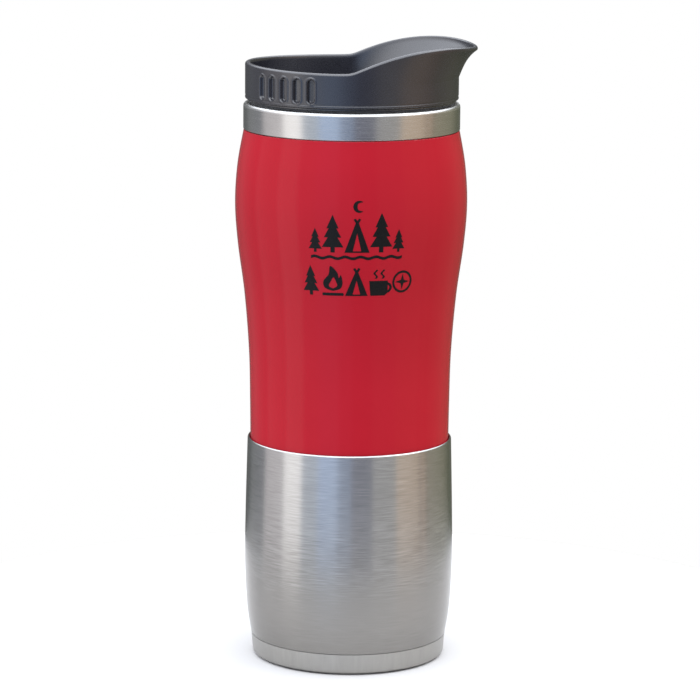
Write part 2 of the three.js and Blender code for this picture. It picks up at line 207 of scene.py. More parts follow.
def revolve(outline, columns=ROUND):
    """Turns a closed outline, or one that starts and ends on the axis, about Z."""
    mesh = bmesh.new()
    on_axis = [abs(r) < 1e-6 for r, _ in outline]
    rings = []
    for (r, z), pole in zip(outline, on_axis):
        count = 1 if pole else columns
        turns = [2 * math.pi * i / columns for i in range(count)]
        rings.append([mesh.verts.new((r * math.cos(a), r * math.sin(a), z)) for a in turns])
    closed = not any(on_axis)
    for k in range(len(rings) if closed else len(rings) - 1):
        bridge(mesh, rings[k], rings[(k + 1) % len(rings)], columns)
    return mesh


def bridge(mesh, lower, upper, columns):
    """Joins two rings, either of which may be a single point."""
    for i in range(columns):
        j = (i + 1) % columns
        corners = [ring[k % len(ring)] for ring, k in ((lower, i), (lower, j), (upper, j), (upper, i))]
        corners = [v for k, v in enumerate(corners) if v is not corners[k - 1]]
        if len(corners) > 2:
            mesh.faces.new(corners)


def turn_sections(section_at, angles):
    """A turned body whose section changes with the angle; each section runs from axis to axis."""
    mesh = bmesh.new()
    columns = []
    for angle in angles:
        section = section_at(angle)
        columns.append([
            mesh.verts.new((r * math.cos(angle), r * math.sin(angle), z)) for r, z in section[1:-1]
        ])
    first, last = (mesh.verts.new((0, 0, section_at(0)[k][1])) for k in (0, -1))
    for here, there in zip(columns, [*columns[1:], columns[0]]):
        mesh.faces.new((first, here[0], there[0]))
        mesh.faces.new((last, there[-1], here[-1]))
        for k in range(len(here) - 1):
            mesh.faces.new((here[k], here[k + 1], there[k + 1], there[k]))
    return mesh


def inset(outline, distance):
    """A closed outline moved inwards by a distance; the outline runs anticlockwise."""
    moved = []
    for i, point in enumerate(outline):
        here = Vector(point)
        back = (here - Vector(outline[i - 1])).normalized().orthogonal()
        ahead = (Vector(outline[(i + 1) % len(outline)]) - here).normalized().orthogonal()
        across = back + ahead
        moved.append(tuple(here + across * (distance / across.dot(back))))
    return moved


def prism(outline, near, far, ease_r=0.0):
    """An anticlockwise outline in the XZ plane pulled from y = near to y = far, with its edges eased."""
    turns = [math.pi / 2 * k / 4 for k in range(5)] if ease_r else [0]
    start = [(ease_r * (1 - math.sin(a)), near + ease_r * (1 - math.cos(a))) for a in turns]
    layers = [*start, *[(cut, near + far - y) for cut, y in start[::-1]]]
    mesh = bmesh.new()
    rings = [[mesh.verts.new((x, y, z)) for x, z in inset(outline, cut)] for cut, y in layers]
    mesh.faces.new(rings[0])
    mesh.faces.new(rings[-1][::-1])
    for lower, upper in zip(rings, rings[1:]):
        bridge(mesh, lower, upper, len(outline))
    return mesh


def post(x, radius, start, end, bevel=0.0):
    """An upright cylinder on the XZ plane."""
    corners = [(0, start, 0), (radius, start, bevel), (radius, end, bevel), (0, end, 0)]
    mesh = revolve(filleted(corners, 4), SMALL_ROUND)
    bmesh.ops.translate(mesh, verts=mesh.verts, vec=(x, 0, 0))
    return mesh


def rod(x, z, radius, half_length, bevel=0.0):
    """A cylinder along Y."""
    mesh = post(0, radius, -half_length, half_length, bevel)
    bmesh.ops.rotate(mesh, verts=mesh.verts, matrix=Matrix.Rotation(math.pi / 2, 3, "X"))
    bmesh.ops.translate(mesh, verts=mesh.verts, vec=(x, 0, z))
    return mesh


def raise_thread(mesh, wall_r, start, end, height, phase):
    """Raises two helical ridges on a wall of the mesh, inwards if the height is negative."""
    for vert in mesh.verts:
        x, y, z = vert.co
        if abs(math.hypot(x, y) - wall_r) > 0.01 or not start < z < end:
            continue
        along = z - THREAD_LEAD * math.atan2(y, x) / (2 * math.pi) + phase
        from_crest = abs(along % THREAD_PITCH - THREAD_PITCH / 2)
        flank = ease((1.15 - from_crest) / 0.75)
        fade = ease(min(z - start, end - z) / 1.2)
        scale = (wall_r + height * flank * fade) / wall_r
        vert.co.x *= scale
        vert.co.y *= scale


def ease(t):
    """A smooth step from 0 to 1."""
    t = min(max(t, 0), 1)
    return t * t * (3 - 2 * t)


def wall_rows(radius, start, end, step):
    """Points down or up a straight wall."""
    count = round(abs(end - start) / step)
    return [(radius, start + (end - start) * i / count) for i in range(count + 1)]


def to_object(name, mesh):
    """A bmesh as a linked object, still in millimetres."""
    bmesh.ops.recalc_face_normals(mesh, faces=mesh.faces)
    if mesh.calc_volume(signed=True) < 0:
        bmesh.ops.reverse_faces(mesh, faces=mesh.faces)
    data = bpy.data.meshes.new(name)
    mesh.to_mesh(data)
    mesh.free()
    made = bpy.data.objects.new(name, data)
    bpy.context.scene.collection.objects.link(made)
    return made


def apply_modifiers(piece):
    """Keeps the mesh that the piece's modifiers make, and drops them."""
    evaluated = piece.evaluated_get(bpy.context.evaluated_depsgraph_get())
    data = bpy.data.meshes.new_from_object(evaluated)
    piece.modifiers.clear()
    old = piece.data
    piece.data = data
    bpy.data.meshes.remove(old)


def combine(piece, mesh, operation):
    """Joins a mesh to a piece (UNION) or cuts it away (DIFFERENCE)."""
    tool = to_object("tool", mesh)
    modifier = piece.modifiers.new("combine", "BOOLEAN")
    modifier.object = tool
    modifier.operation = operation
    modifier.solver = "MANIFOLD"
    apply_modifiers(piece)
    bpy.data.objects.remove(tool)


def finish_piece(piece, body, material, slot, *nodes, sharp=40):
    """Scales a piece to metres, smooths it, gives it its material and places it in the frame."""
    data = piece.data
    data.transform(Matrix.Scale(MM, 4))
    data.materials.clear()
    data.materials.append(material)
    data.shade_smooth()
    data.set_sharp_from_angle(angle=math.radians(sharp))
    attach(piece, body)
    if nodes:
        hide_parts(*nodes)
    return piece


# ---- Materials ----

class Surface:
    """A Principled material with procedural detail in the object's own coordinates."""

    def __init__(self, name, colour, roughness, **sockets):
        self.material = bpy.data.materials.new(name)
        self.material.use_nodes = True
        self.nodes = self.material.node_tree.nodes
        self.links = self.material.node_tree.links
        self.shader = self.nodes["Principled BSDF"]
        self.shader.inputs["Base Color"].default_value = (*colour, 1)
        self.shader.inputs["Roughness"].default_value = roughness
        for socket, value in sockets.items():
            self.shader.inputs[socket.replace("_", " ")].default_value = value

    def noise(self, scale, detail=3.0, rough=0.5):
        """Noise whose grain is this many cells a metre along X, Y and Z."""
        place = self.nodes.new("ShaderNodeTexCoord")
        mapping = self.nodes.new("ShaderNodeMapping")
        mapping.inputs["Scale"].default_value = scale
        noise = self.nodes.new("ShaderNodeTexNoise")
        noise.inputs["Scale"].default_value = 1
        noise.inputs["Detail"].default_value = detail
        noise.inputs["Roughness"].default_value = rough
        self.links.new(place.outputs["Object"], mapping.inputs["Vector"])
        self.links.new(mapping.outputs["Vector"], noise.inputs["Vector"])
        return noise.outputs["Fac"]

    def height(self):
        """Height above the foot, in metres."""
        place = self.nodes.new("ShaderNodeTexCoord")
        split = self.nodes.new("ShaderNodeSeparateXYZ")
        self.links.new(place.outputs["Object"], split.inputs["Vector"])
        return split.outputs["Z"]

    def math(self, operation, *values):
        node = self.nodes.new("ShaderNodeMath")
        node.operation = operation
        for socket, value in zip(node.inputs, values):
            if isinstance(value, bpy.types.NodeSocket):
                self.links.new(value, socket)
            else:
                socket.default_value = value
        return node.outputs[0]

    def span(self, value, start, end, low_value, high_value):
        """Maps a value from one range to another, and clamps it."""
        node = self.nodes.new("ShaderNodeMapRange")
        node.clamp = True
        for socket, number in zip(list(node.inputs)[1:5], (start, end, low_value, high_value)):
            socket.default_value = number
        self.links.new(value, node.inputs["Value"])
        return node.outputs["Result"]

    def colours(self, value, *stops):
        """Colours along a value: each stop is (position, colour)."""
        ramp = self.nodes.new("ShaderNodeValToRGB")
        elements = ramp.color_ramp.elements
        for element, (position, colour) in zip(elements, (stops[0], stops[-1])):
            element.position = position
            element.color = (*colour, 1)
        for position, colour in stops[1:-1]:
            elements.new(position).color = (*colour, 1)
        self.links.new(value, ramp.inputs["Fac"])
        self.links.new(ramp.outputs["Color"], self.shader.inputs["Base Color"])

    def shade(self, value):
        """Multiplies the colour by a value near 1."""
        node = self.nodes.new("ShaderNodeVectorMath")
        node.operation = "SCALE"
        colour = self.shader.inputs["Base Color"]
        self.links.new(colour.links[0].from_socket, node.inputs[0])
        self.links.new(value, node.inputs["Scale"])
        self.links.new(node.outputs[0], colour)

    def roughness(self, value):
        self.links.new(value, self.shader.inputs["Roughness"])

    def bump(self, height, depth_mm):
        node = self.nodes.new("ShaderNodeBump")
        node.inputs["Strength"].default_value = 1
        node.inputs["Distance"].default_value = depth_mm * MM
        self.links.new(height, node.inputs["Height"])
        self.links.new(node.outputs["Normal"], self.shader.inputs["Normal"])

    def brushed(self):
        """Brushing round the axis: a quarter turn from the way that a radial tangent runs."""
        tangent = self.nodes.new("ShaderNodeTangent")
        tangent.direction_type = "RADIAL"
        tangent.axis = "Z"
        self.shader.inputs["Anisotropic Rotation"].default_value = 0.25
        self.links.new(tangent.outputs["Tangent"], self.shader.inputs["Tangent"])


def brushed_steel_painted_shade():
    """Fine brushing, and painted shade that darkens the colour towards the foot."""
    steel = Surface("brushed_steel_painted_shade", (0.40, 0.398, 0.392), 0.25, Metallic=1, Anisotropic=0.85)
    steel.brushed()
    lines = steel.noise((150, 150, 3600), detail=3, rough=0.55)
    grain = steel.math("MULTIPLY", steel.math("SUBTRACT", lines, 0.5), 0.35)
    # painted shade: the height term darkens the steel towards the foot, standing in for dimmer reflections
    # there; the grain term is the brushing
    painted_shade_and_grain = steel.math("ADD", steel.span(steel.height(), 0, 0.08, 0.05, 0.95), grain)
    steel.colours(
        painted_shade_and_grain, (0.05, (0.265, 0.256, 0.24)), (0.35, (0.29, 0.282, 0.268)), (0.6, (0.42, 0.417, 0.41)),
        (1.0, (0.50, 0.50, 0.497)),
    )
    steel.shade(steel.span(lines, 0.25, 0.75, 0.92, 1.08))
    steel.roughness(steel.span(lines, 0.3, 0.7, 0.235, 0.265))
    return steel.material


def foot_steel():
    steel = Surface("foot_steel", (0.46, 0.45, 0.43), 0.38, Metallic=1, Anisotropic=0.4)
    steel.brushed()
    lines = steel.noise((700, 700, 60), detail=3, rough=0.6)
    steel.colours(lines, (0.3, (0.35, 0.342, 0.324)), (0.7, (0.40, 0.391, 0.371)))
    steel.roughness(steel.span(lines, 0.3, 0.7, 0.33, 0.45))
    steel.bump(lines, 0.004)
    return steel.material


def collar_steel():
    steel = Surface("collar_steel", (0.52, 0.517, 0.507), 0.26, Metallic=1, Anisotropic=0.78)
    steel.brushed()
    lines = steel.noise((90, 90, 4200), detail=3, rough=0.6)
    steel.colours(lines, (0.3, (0.49, 0.487, 0.477)), (0.7, (0.55, 0.547, 0.537)))
    steel.roughness(steel.span(lines, 0.3, 0.7, 0.23, 0.29))
    steel.bump(lines, 0.001)
    return steel.material


def liner_steel():
    steel = Surface("liner_steel", (0.62, 0.62, 0.61), 0.3, Metallic=1, Anisotropic=0.3)
    steel.brushed()
    lines = steel.noise((120, 120, 1400), detail=3)
    steel.colours(lines, (0.3, (0.58, 0.58, 0.57)), (0.7, (0.68, 0.68, 0.67)))
    steel.roughness(steel.span(lines, 0.3, 0.7, 0.24, 0.36))
    steel.bump(lines, 0.004)
    return steel.material


def red_gloss():
    red = Surface("red_gloss", (0.395, 0.012, 0.022), 0.1, IOR=1.46, Specular_IOR_Level=0.15)
    cloud = red.noise((35, 35, 35), detail=2)
    red.colours(cloud, (0.3, (0.385, 0.0115, 0.021)), (0.7, (0.405, 0.0125, 0.023)))
    specks = red.noise((2500, 2500, 2500), detail=1)
    red.roughness(red.span(specks, 0.35, 0.7, 0.07, 0.13))
    red.bump(red.noise((420, 420, 420), detail=2), 0.004)
    return red.material


def black_satin():
    black = Surface("black_satin", (0.012, 0.0125, 0.025), 0.28, IOR=1.56, Specular_IOR_Level=0.87)
    cloud = black.noise((120, 120, 120), detail=3)
    black.colours(cloud, (0.3, (0.009, 0.009, 0.014)), (0.7, (0.012, 0.012, 0.018)))
    grain = black.noise((3800, 3800, 3800), detail=2, rough=0.6)
    black.roughness(black.span(grain, 0.3, 0.7, 0.24, 0.33))
    black.bump(grain, 0.012)
    return black.material


def silicone():
    rubber = Surface("silicone", (0.05, 0.052, 0.056), 0.62, IOR=1.41, Sheen_Weight=0.15)
    grain = rubber.noise((1500, 1500, 1500), detail=3)
    rubber.colours(grain, (0.3, (0.042, 0.044, 0.048)), (0.7, (0.060, 0.062, 0.066)))
    rubber.roughness(rubber.span(grain, 0.3, 0.7, 0.55, 0.7))
    rubber.bump(grain, 0.01)
    return rubber.material


def foot_rubber():
    rubber = Surface("foot_rubber", (0.03, 0.03, 0.03), 0.85)
    grain = rubber.noise((900, 900, 900), detail=4, rough=0.7)
    rubber.colours(grain, (0.3, (0.022, 0.022, 0.022)), (0.7, (0.045, 0.044, 0.042)))
    rubber.roughness(rubber.span(grain, 0.3, 0.7, 0.75, 0.92))
    rubber.bump(grain, 0.03)
    return rubber.material


def spacer_plastic():
    plastic = Surface("spacer_plastic", (0.66, 0.65, 0.60), 0.55)
    cloud = plastic.noise((300, 300, 300), detail=3)
    plastic.colours(cloud, (0.3, (0.60, 0.59, 0.54)), (0.7, (0.70, 0.69, 0.64)))
    plastic.roughness(plastic.span(cloud, 0.3, 0.7, 0.5, 0.62))
    return plastic.material


def dull_metal(name, dark, light):
    metal = Surface(name, light, 0.55, Metallic=1)
    grain = metal.noise((1800, 1800, 1800), detail=3)
    metal.colours(grain, (0.3, dark), (0.7, light))
    metal.roughness(metal.span(grain, 0.3, 0.7, 0.45, 0.7))
    metal.bump(grain, 0.02)
    return metal.material


def print_ink():
    ink = Surface("print_ink", (0.008, 0.008, 0.008), 0.45, IOR=1.45, Specular_IOR_Level=0.15)
    grain = ink.noise((2600, 2600, 2600), detail=2)
    ink.colours(grain, (0.3, (0.006, 0.006, 0.006)), (0.7, (0.010, 0.0095, 0.0095)))
    ink.roughness(ink.span(grain, 0.3, 0.7, 0.36, 0.5))
    return ink.material


BRUSHED = brushed_steel_painted_shade()
FOOT = foot_steel()
COLLAR = collar_steel()
LINER = liner_steel()
RED = red_gloss()
BLACK = black_satin()
SILICONE = silicone()
FOOT_RUBBER = foot_rubber()
SPACER = spacer_plastic()
SOLDER = dull_metal("solder", (0.22, 0.225, 0.235), (0.32, 0.325, 0.335))
GETTER = dull_metal("getter_alloy", (0.05, 0.05, 0.055), (0.11, 0.11, 0.115))
INK = print_ink()


# ---- Vessel ----

def make_liner():
    thread_low, thread_high = MOUTH_Z - 13.4, MOUTH_Z - 3.8
    cavity = [
        (0.0, 12.6),
        *arc(21.4, 18.6, 6, -90, 0, 12),
        *through([(27.4, 95), (28.9, 122), (29.9, 146), (NECK_R, 163)], 40),
        (NECK_R, thread_low - 1),
    ]
    lip = [
        *arc(NECK_R + 1.6, MOUTH_Z - 1.6, 1.6, 180, 90, 12),
        *arc(MOUTH_R - 1.15, MOUTH_Z - 1.15, 1.15, 90, 0, 12),
        (MOUTH_R, MOUTH_Z - 1.2),
    ]
    outside = beside([*cavity, *lip], -STEEL)[::-1]
    outline = [*cavity, *wall_rows(NECK_R, thread_low, thread_high, 0.2), *lip, *outside]
    mesh = revolve(outline)
    raise_thread(mesh, NECK_R, thread_low, thread_high, -THREAD_HEIGHT, THREAD_PITCH / 2)
    finish_piece(to_object("liner_skin", mesh), "flask", LINER, "liner_steel", "inner_liner")


def make_collar():
    step_z = SLEEVE_TOP_Z + 0.15
    inner = through([(30.8, 95), (31.3, 108), (32.4, 124), (33.2, 140), (33.3, 152)], 24)
    outside = [
        (24, 6.65),
        *arc(27, 10.45, 3.8, -90, 0, 8),
        *inner,
        (33.3, step_z),
        *arc(MOUTH_R - 0.25, step_z + 0.25, 0.25, -90, 0, 5),
        (MOUTH_R, MOUTH_Z - 1.22),
    ]
    mesh = revolve(sheet(outside, STEEL))
    finish_piece(to_object("collar_and_jacket", mesh), "flask", COLLAR, "collar_steel", "vacuum_jacket")


BELLY_CURVE = through([
    (32.35, SEAM_Z - 4.6), (32.5, 84), (32.9, 101), (34.4, 120),
    (36.6, 136.5), (37.5, 149.5), (36.75, 162), (34.75, SLEEVE_TOP_Z),
], 140)


def belly_radius(z):
    """The sleeve's outer radius at a height."""
    for (r0, z0), (r1, z1) in zip(BELLY_CURVE, BELLY_CURVE[1:]):
        if z0 <= z <= z1:
            return r0 + (r1 - r0) * (z - z0) / (z1 - z0)
    return BELLY_CURVE[-1][0]


def make_sleeve():
    mesh = revolve(sheet(BELLY_CURVE, SLEEVE_WALL, edge=0.35))
    finish_piece(to_object("gloss_sleeve", mesh), "flask", RED, "red_plastic", "red_sleeve")


def make_base():
    roll = 0.65
    flank = through([
        (31.95, CAP_TOP_Z + SEAM_GAP), (33.3, 16), (34.05, 31), (33.9, 48), (33.3, SEAM_Z - roll),
    ], 90)
    rolled_edge = arc(33.3 - roll, SEAM_Z - roll, roll, 8, 80, 8)
    shell = revolve(sheet([*flank, *rolled_edge], STEEL, edge=0.15))
    finish_piece(to_object("steel_base", shell), "flask", BRUSHED, "base_steel", "base_shell")
    underside = [
        (0.0, 1.05), (24.2, 1.05), (24.9, 0.42), (25.6, 0.4), *arc(30.2, 1.7, 1.3, -90, -8, 10),
        (31.93, CAP_TOP_Z - SEAM_GAP),
    ]
    upper = beside(underside, STEEL)[::-1]
    cap = revolve([*underside, *[(max(r, 0.0), z) for r, z in upper]])
    finish_piece(to_object("foot_band", cap), "flask", FOOT, "base_steel", "bottom_cap")
    pad = revolve(filleted([(0, 0, 0), (24, 0, 0.35), (24, 1, 0.15), (0, 1, 0)]))
    finish_piece(to_object("rubber_foot", pad), "flask", FOOT_RUBBER, "foot_rubber", "foot_pad")


# ---- Lid ----

def rim_radius(angle):
    """Outer radius of the rim at an angle from the spout."""
    turn = SPOUT_SPREAD * angle
    reach = math.cos(turn) ** 2 if abs(turn) < math.pi / 2 else 0
    return LID_R + SPOUT_FLARE * reach


def crest_z(angle):
    """Height of the rim at an angle from the spout."""
    x = rim_radius(angle) * math.cos(angle)
    back = BACK_RISE * (min(x, 0) / LID_R) ** 2
    forward = (x + math.hypot(x, 1.5)) / 2
    if forward < SPOUT_PEAK_X:
        return RIM_Z + back + SPOUT_RISE * (1 - (1 - forward / SPOUT_PEAK_X) ** 2)
    return RIM_Z + SPOUT_RISE - ((forward - SPOUT_PEAK_X) / SPOUT_TIP_RUN) ** 2


def flute_depth(angle, z):
    """How deep the grip flutes cut into the flank at a point."""
    degrees = abs(math.degrees(angle))
    nearest = min(max(round((degrees - FLUTE_ANGLE) / FLUTE_PITCH), -(FLUTES // 2)), FLUTES // 2)
    across = math.radians(degrees - FLUTE_ANGLE - nearest * FLUTE_PITCH) * LID_R
    beyond = max(FLUTE_LOW_Z + FLUTE_HALF_WIDTH - z, z - FLUTE_HIGH_Z + FLUTE_HALF_WIDTH, 0)
    inside = FLUTE_HALF_WIDTH - math.hypot(across, beyond)
    border = 0.2 * math.exp(-(((inside + 0.3) / 0.28) ** 2))
    return FLUTE_DEPTH * ease(inside / 0.5) - border


def lid_section(angle):
    """Recess floor, ramp or wall, rim, flared outer wall and underside at an angle."""
    outer, crest = rim_radius(angle), crest_z(angle)
    inner = outer - RIM
    foot = RECESS_R - SPOUT_FOOT * (1 - (1 - max(math.cos(angle), 0)) ** 2)
    ramp_top = crest - 1
    hollow = 0.35 * (inner - foot)

    def ramp(t):
        """The inner wall, from the recess's floor (0) to the rim (1); a long slope at the spout."""
        r = foot + (inner - foot) * t + hollow * t * (1 - t) * 0.5
        return r, FLOOR_Z + (ramp_top - FLOOR_Z) * t**0.94

    def flank(z):
        """The outer wall: it flares towards the rim and has a fine groove near its foot."""
        t = min(max((z - FLARE_START_Z) / (crest - 1 - FLARE_START_Z), 0), 1)
        groove = 0.16 * math.exp(-(((z - LID_BOTTOM_Z - 1.0) / 0.22) ** 2))
        return LID_R + (outer - LID_R) * (0.6 * t + 0.4 * t**4) - flute_depth(angle, z) - groove, z

    floor = [(0, FLOOR_Z), *[(foot * k / 6 - 0.25 * k, FLOOR_Z) for k in range(1, 6)]]
    corner = [(foot - 1.4 * (1 - t) ** 2 + 0.02, FLOOR_Z + 0.9 * t**2) for t in (0, 0.25, 0.5, 0.75)]
    slope = [ramp(0.08 + 0.92 * k / 18) for k in range(19)]
    wall_top = crest - 1.2
    wall_middle = FLARE_START_Z + 2.1
    top_edge = filleted([
        (*slope[-1], 0), (inner + 0.25, crest, 0.55),
        (outer + 0.03, crest - 0.1, 0.75), (*flank(wall_top), 0),
    ], 7)[1:-1]
    flare = [flank(wall_top + (wall_middle - wall_top) * k / 18) for k in range(18)]
    wall = [flank(z) for _, z in wall_rows(0, wall_middle, LID_BOTTOM_Z + 0.6, 0.17)]
    under = arc(LID_R - 0.4, LID_BOTTOM_Z + 0.4, 0.4, 0, -90, 5)
    return [
        *floor, *corner, *slope, *top_edge, *flare, *wall, *under, (20, LID_BOTTOM_Z), (0, LID_BOTTOM_Z),
    ]


def lid_angles():
    """Angles round the lid, closer together across the grip flutes."""
    half_span = FLUTE_PITCH * (FLUTES - 1) / 2 + 4
    fine = [FLUTE_ANGLE - half_span + 0.35 * i for i in range(round(2 * half_span / 0.35) + 1)]
    front = [-fine[0] + 1.5 * i for i in range(1, int(2 * fine[0] / 1.5))]
    back_gap = 360 - 2 * fine[-1]
    back = [fine[-1] + back_gap * i / 40 for i in range(1, 40)]
    degrees = sorted([*fine, *[-a for a in fine], *front, *[a - 360 if a > 180 else a for a in back]])
    return [math.radians(a) for a in degrees]


def ear_outline():
    """One of the two ears that hold the lever's pin, seen from the side."""
    turns = [0.15 + (math.pi - 0.3) * i / 14 for i in range(15)]
    arch = [(PIVOT.x + EAR_R * math.cos(a), PIVOT.z + EAR_R * math.sin(a)) for a in turns]
    return [(PIVOT.x + 3, FLOOR_Z - 0.4), *arch, (PIVOT.x - 3, FLOOR_Z - 0.4)]


def make_lid_shell():
    shell = to_object("lid_with_spout", turn_sections(lid_section, lid_angles()))
    near = LEVER_HALF_WIDTH + EAR_GAP
    far = near + EAR_THICKNESS
    for start, end in ((near, far), (-far, -near)):
        combine(shell, prism(ear_outline(), start, end, 0.25), "UNION")
    ducts = ((DRINK_X, DRINK_HOLE_R, DRINK_DUCT_WALL), (VENT_X, VENT_HOLE_R, VENT_DUCT_WALL))
    for x, radius, wall in ducts:
        combine(shell, post(x, radius + wall, PLUG_BOTTOM_Z, LID_BOTTOM_Z + 0.4, 0.3), "UNION")
        combine(shell, post(x, radius, PLUG_BOTTOM_Z - 1, FLOOR_Z + 1), "DIFFERENCE")
    combine(shell, rod(PIVOT.x, PIVOT.z, PIN_R + SEAM_GAP, 12), "DIFFERENCE")
    finish_piece(shell, "lid", BLACK, "black_plastic", "lid_shell", sharp=50)


def make_lid_plug():
    thread_low, thread_high = PLUG_BOTTOM_Z + 2, LID_BOTTOM_Z - 4.5
    flange_z = LID_BOTTOM_Z - SEAM_GAP
    outline = [
        (0, PLUG_BOTTOM_Z),
        (PLUG_R - 1, PLUG_BOTTOM_Z),
        *arc(PLUG_R - 1, PLUG_BOTTOM_Z + 1, 1, -90, 0, 6),
        *wall_rows(PLUG_R, thread_low, thread_high, 0.2),
        (PLUG_R, flange_z - 0.7),
        *filleted([
            (PLUG_R, flange_z - 0.7, 0), (33.3, flange_z - 0.7, 0.2),
            (33.3, flange_z, 0.2), (PLUG_R, flange_z, 0),
        ], 3)[1:-1],
        (PLUG_R - PLUG_WALL, flange_z),
        (PLUG_R - PLUG_WALL, PLUG_BOTTOM_Z + 1.6),
        (0, PLUG_BOTTOM_Z + 1.6),
    ]
    mesh = revolve(outline)
    raise_thread(mesh, PLUG_R, thread_low, thread_high, THREAD_HEIGHT, 0)
    plug = to_object("threaded_plug", mesh)
    ducts = ((DRINK_X, DRINK_HOLE_R + DRINK_DUCT_WALL), (VENT_X, VENT_HOLE_R + VENT_DUCT_WALL))
    for x, duct_r in ducts:
        combine(plug, post(x, duct_r + 0.25, PLUG_BOTTOM_Z - 1, PLUG_BOTTOM_Z + 3), "DIFFERENCE")
    finish_piece(plug, "lid", BLACK, "black_plastic", "lid_plug", sharp=50)


def make_seals():
    inner, seat = PLUG_R + 0.25, MOUTH_Z + 0.08
    ring = filleted([
        (inner, MOUTH_Z - 1.8, 0.1), (inner + 0.45, MOUTH_Z - 2.1, 0.2),
        (NECK_R - 0.2, MOUTH_Z - 1.1, 0.25), (NECK_R - 0.1, MOUTH_Z - 0.3, 0.1), (NECK_R + 0.5, seat, 0.1),
        (33, seat, 0.15), (33, seat + 0.42, 0.15), (inner, seat + 0.42, 0.05),
    ], 4)
    finish_piece(to_object("mouth_seal", revolve(ring)), "seal_ring", SILICONE, "silicone", "lid_seal")
    o_ring = revolve(arc(DRINK_HOLE_R + 2.4, PLUG_BOTTOM_Z + 2.45, 0.8, 0, 345, 23), 96)
    bmesh.ops.translate(o_ring, verts=o_ring.verts, vec=(DRINK_X, 0, 0))
    finish_piece(to_object("duct_o_ring", o_ring), "lid", SILICONE, "silicone", "duct_seal")


# ---- Flip lever ----

def lever_half_width(x):
    """Half the lever's width along its length: a straight arm that swells into a round nose."""
    if x > LEVER_NOSE_X:
        return math.sqrt(max(LEVER_NOSE_R**2 - (x - LEVER_NOSE_X) ** 2, 0))
    return LEVER_HALF_WIDTH + (LEVER_NOSE_R - LEVER_HALF_WIDTH) * ease((x - 6) / (LEVER_NOSE_X - 7))


def lever_section(x):
    """The lever's cross-section at x: a rounded bar with a shallow dish on top and a lifted tip."""
    half = max(lever_half_width(x), 0.35)
    toe = ease((x - LEVER_NOSE_X - 2) / 5)
    under = LEVER_UNDER_Z + 0.4 * ease((6 - x) / 8) + 0.9 * toe
    top = LEVER_TOP_Z + 0.5 * toe
    radius = min(0.7, half * 0.8, (top - under) * 0.45)
    outline = filleted([
        (-half, under, radius), (half, under, radius), (half, top, radius), (-half, top, radius),
    ], 5)
    dish = 0.25 * ease((x - 1) / 4) * ease((LEVER_NOSE_X - 4 - x) / 5)
    return [(y, z - dish * (1 - (y / half) ** 2) if z > top - 0.01 else z) for y, z in outline]


def make_lever():
    start, end = PIVOT.x + 0.2, LEVER_TIP_X - 0.02
    count = 90
    mesh = bmesh.new()
    rings = []
    for i in range(count + 1):
        share = i / count
        x = start + (end - start) * math.sin(share * math.pi / 2) ** 0.9 if share else start
        rings.append([mesh.verts.new((x, y, z)) for y, z in lever_section(x)])
    for near, far in zip(rings, rings[1:]):
        for k in range(len(near)):
            j = (k + 1) % len(near)
            mesh.faces.new((near[k], near[j], far[j], far[k]))
    mesh.faces.new(rings[0])
    mesh.faces.new(rings[-1][::-1])
    lever = to_object("lever", mesh)
    combine(lever, rod(PIVOT.x, PIVOT.z, 2.1, LEVER_HALF_WIDTH, 0.25), "UNION")
    combine(lever, rod(PIVOT.x, PIVOT.z, PIN_R + 0.15, LEVER_HALF_WIDTH + 2), "DIFFERENCE")
    combine(lever, post(DRINK_X, 2.2, LEVER_UNDER_Z - 1, LEVER_TOP_Z + 2), "DIFFERENCE")
    combine(lever, post(DRINK_X, 3.3, LEVER_TOP_Z - 1.1, LEVER_TOP_Z + 2), "DIFFERENCE")
    combine(lever, post(VENT_X, 1.3, LEVER_UNDER_Z - 1, LEVER_UNDER_Z + 1.8), "DIFFERENCE")
    finish_piece(lever, "lever", BLACK, "black_plastic", "flip_lever", sharp=45)
    pin = rod(PIVOT.x, PIVOT.z, PIN_R, PIN_HALF_LENGTH, 0.2)
    finish_piece(to_object("steel_pin", pin), "lid", COLLAR, "collar_steel", "lever_pin")


def make_stoppers():
    seat, neck_top = FLOOR_Z + SEAM_GAP, LEVER_TOP_Z - 1.05
    neck_foot, vent_top = LEVER_UNDER_Z - SEAM_GAP, LEVER_UNDER_Z + 1.5
    drink = filleted([
        (0, seat - 1.5, 0), (3.5, seat - 1.5, 0.5), (4, seat, 0.1), (5.6, seat, 0.3),
        (5.6, seat + 1, 0.3), (5, neck_foot, 0.1), (2, neck_foot, 0.1), (2, neck_top, 0.05),
        (3, neck_top, 0.2), (3, neck_top + 0.5, 0.2), (2.2, neck_top + 0.9, 0.4), (0, neck_top + 0.95, 0),
    ], 4)
    vent = filleted([
        (0, seat - 1, 0), (0.9, seat - 1, 0.3), (1.2, seat, 0.1), (2.6, seat, 0.2), (2.6, seat + 0.8, 0.2),
        (2.2, neck_foot, 0.1), (1.1, neck_foot, 0.1), (1.1, vent_top, 0.2), (0, vent_top, 0),
    ], 4)
    for name, outline, x, node in (
        ("drink_plug", drink, DRINK_X, "drink_stopper"), ("vent_plug", vent, VENT_X, "vent_stopper"),
    ):
        mesh = revolve(outline, 72)
        bmesh.ops.translate(mesh, verts=mesh.verts, vec=(x, 0, 0))
        finish_piece(to_object(name, mesh), "lever", SILICONE, "silicone", node)


# ---- Print on the sleeve: two rows of camping pictures, with no lettering ----

INK_LIFT = 0.03
INK_THICKNESS = 0.03


def ring_of(x, z, radius):
    turns = [2 * math.pi * i / 32 for i in range(32)]
    return [(x + radius * math.cos(a), z + radius * math.sin(a)) for a in turns]


